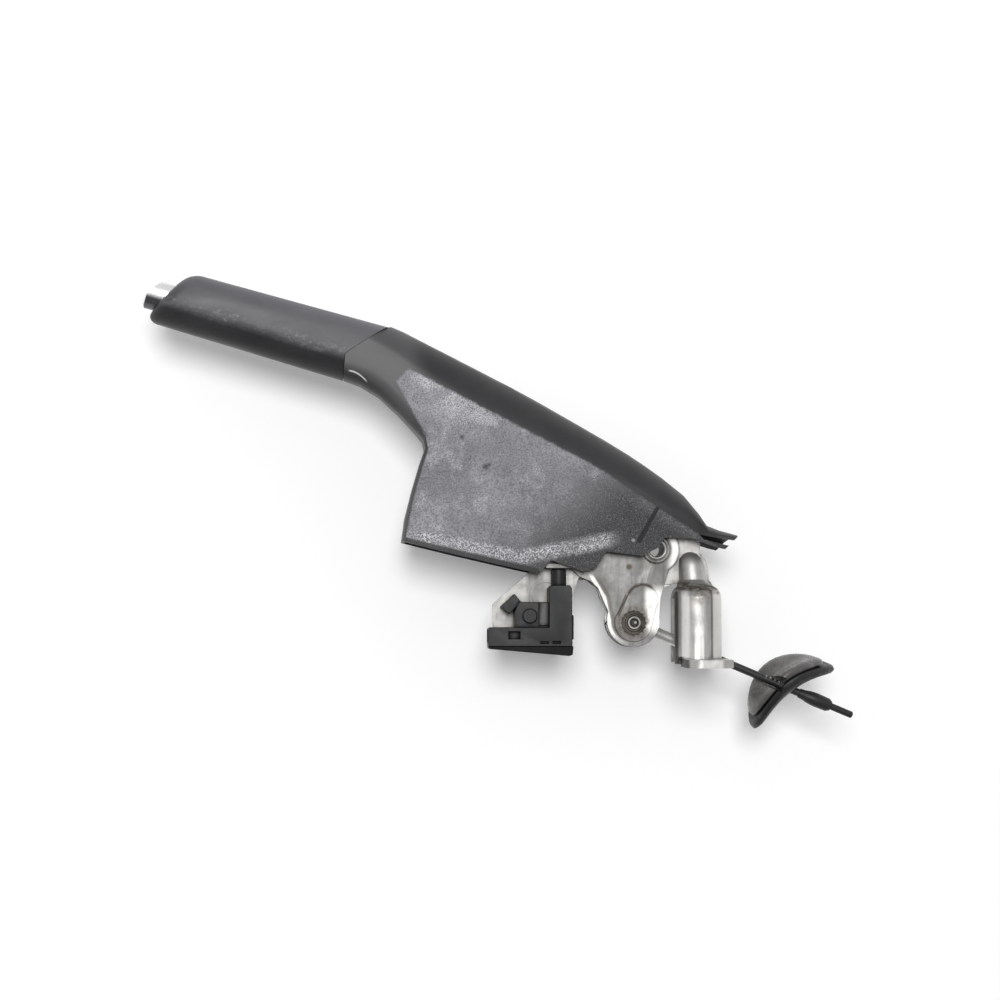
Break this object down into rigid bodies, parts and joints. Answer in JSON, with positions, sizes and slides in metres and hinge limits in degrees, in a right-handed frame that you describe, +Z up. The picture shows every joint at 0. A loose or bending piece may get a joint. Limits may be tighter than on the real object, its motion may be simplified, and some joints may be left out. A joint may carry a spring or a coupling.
{
  "type": "parking brake lever",
  "caption": "Hand parking brake lever with plastic grip and shroud, push-button ratchet release, floor bracket, warning switch and pull rod with grommet.",
  "frame": {"origin": "midway between the two rear foot bolt holes, on the underside of the feet", "axes": "+X to the rear of the vehicle, +Z up, +Y to the right-hand side; the handle points to -X"},
  "size_m": [0.4149, 0.1, 0.2621],
  "materials": {
    "zinc": "zinc plated, satin",
    "steel": "oiled",
    "bronze": "sintered",
    "switch_plastic": "moulded",
    "contact": "tinned",
    "chrome": "polished",
    "grip_plastic": "worn, satin",
    "shroud_plastic": "grained",
    "nylon": "natural",
    "rod_coat": "plastic coated",
    "rubber": "soft"
  },
  "bodies": {
    "base": {"bracket_left": "zinc", "bracket_right": "zinc", "ratchet_sector": "steel", "sector_rivets": "steel", "pivot_bush": "bronze", "switch_body": "switch_plastic", "switch_base": "switch_plastic", "switch_terminals": "contact", "switch_spring": "steel"},
    "lever": {"lever_plate_left": "zinc", "lever_plate_right": "zinc", "lever_spacers": "steel", "pivot_pin": "zinc", "pawl_pin": "steel", "cable_pin": "steel", "cable_pin_ring": "steel", "lever_tube": "steel", "rod_guide": "nylon", "grip": "grip_plastic", "shroud": "shroud_plastic", "button_spring": "steel"},
    "button": {"release_button": "chrome", "release_rod": "steel"},
    "pawl": {"pawl": "steel"},
    "plunger": {"switch_plunger": "switch_plastic"},
    "rod": {"rod_eye": "zinc", "pull_rod": "rod_coat", "rod_sleeve": "rod_coat", "rod_tip": "rod_coat"},
    "grommet": {"cable_grommet": "rubber"}
  },
  "joints": [
    {"name": "lever_swing", "type": "hinge", "parent": "base", "child": "lever", "pos_m": [-0.029, 0, 0.0675], "axis": [0, 1, 0], "range_deg": [0, 28]},
    {"name": "button_push", "type": "slide", "parent": "lever", "child": "button", "axis": [0.9625, 0, -0.2714], "range_m": [-0.0015, 0.007], "stiffness_N_per_m": 900, "deforming": ["button_spring"]},
    {"name": "pawl_turn", "type": "hinge", "parent": "lever", "child": "pawl", "pos_m": [-0.06807, 0, 0.10028], "axis": [0, 1, 0], "range_deg": [-5.5, 25.3]},
    {"name": "plunger_slide", "type": "slide", "parent": "base", "child": "plunger", "axis": [0, 0, 1], "range_m": [0, 0.005], "deforming": ["switch_spring"]},
    {"name": "rod_turn", "type": "hinge", "parent": "lever", "child": "rod", "pos_m": [-0.04238, 0, 0.02506], "axis": [0, 1, 0], "range_deg": [-26.6, 0]},
    {"name": "grommet_slide", "type": "slide", "parent": "rod", "child": "grommet", "axis": [0.9225, 0, -0.3859], "range_m": [-0.01, 0]}
  ],
  "couplings": [
    {"joint": "pawl_turn", "follows": "button_push", "rad_per_m": 62.5},
    {"joint": "plunger_slide", "follows": "lever_swing", "m_per_rad": 0.01023},
    {"joint": "rod_turn", "follows": "lever_swing", "ratio": -0.946}
  ]
}
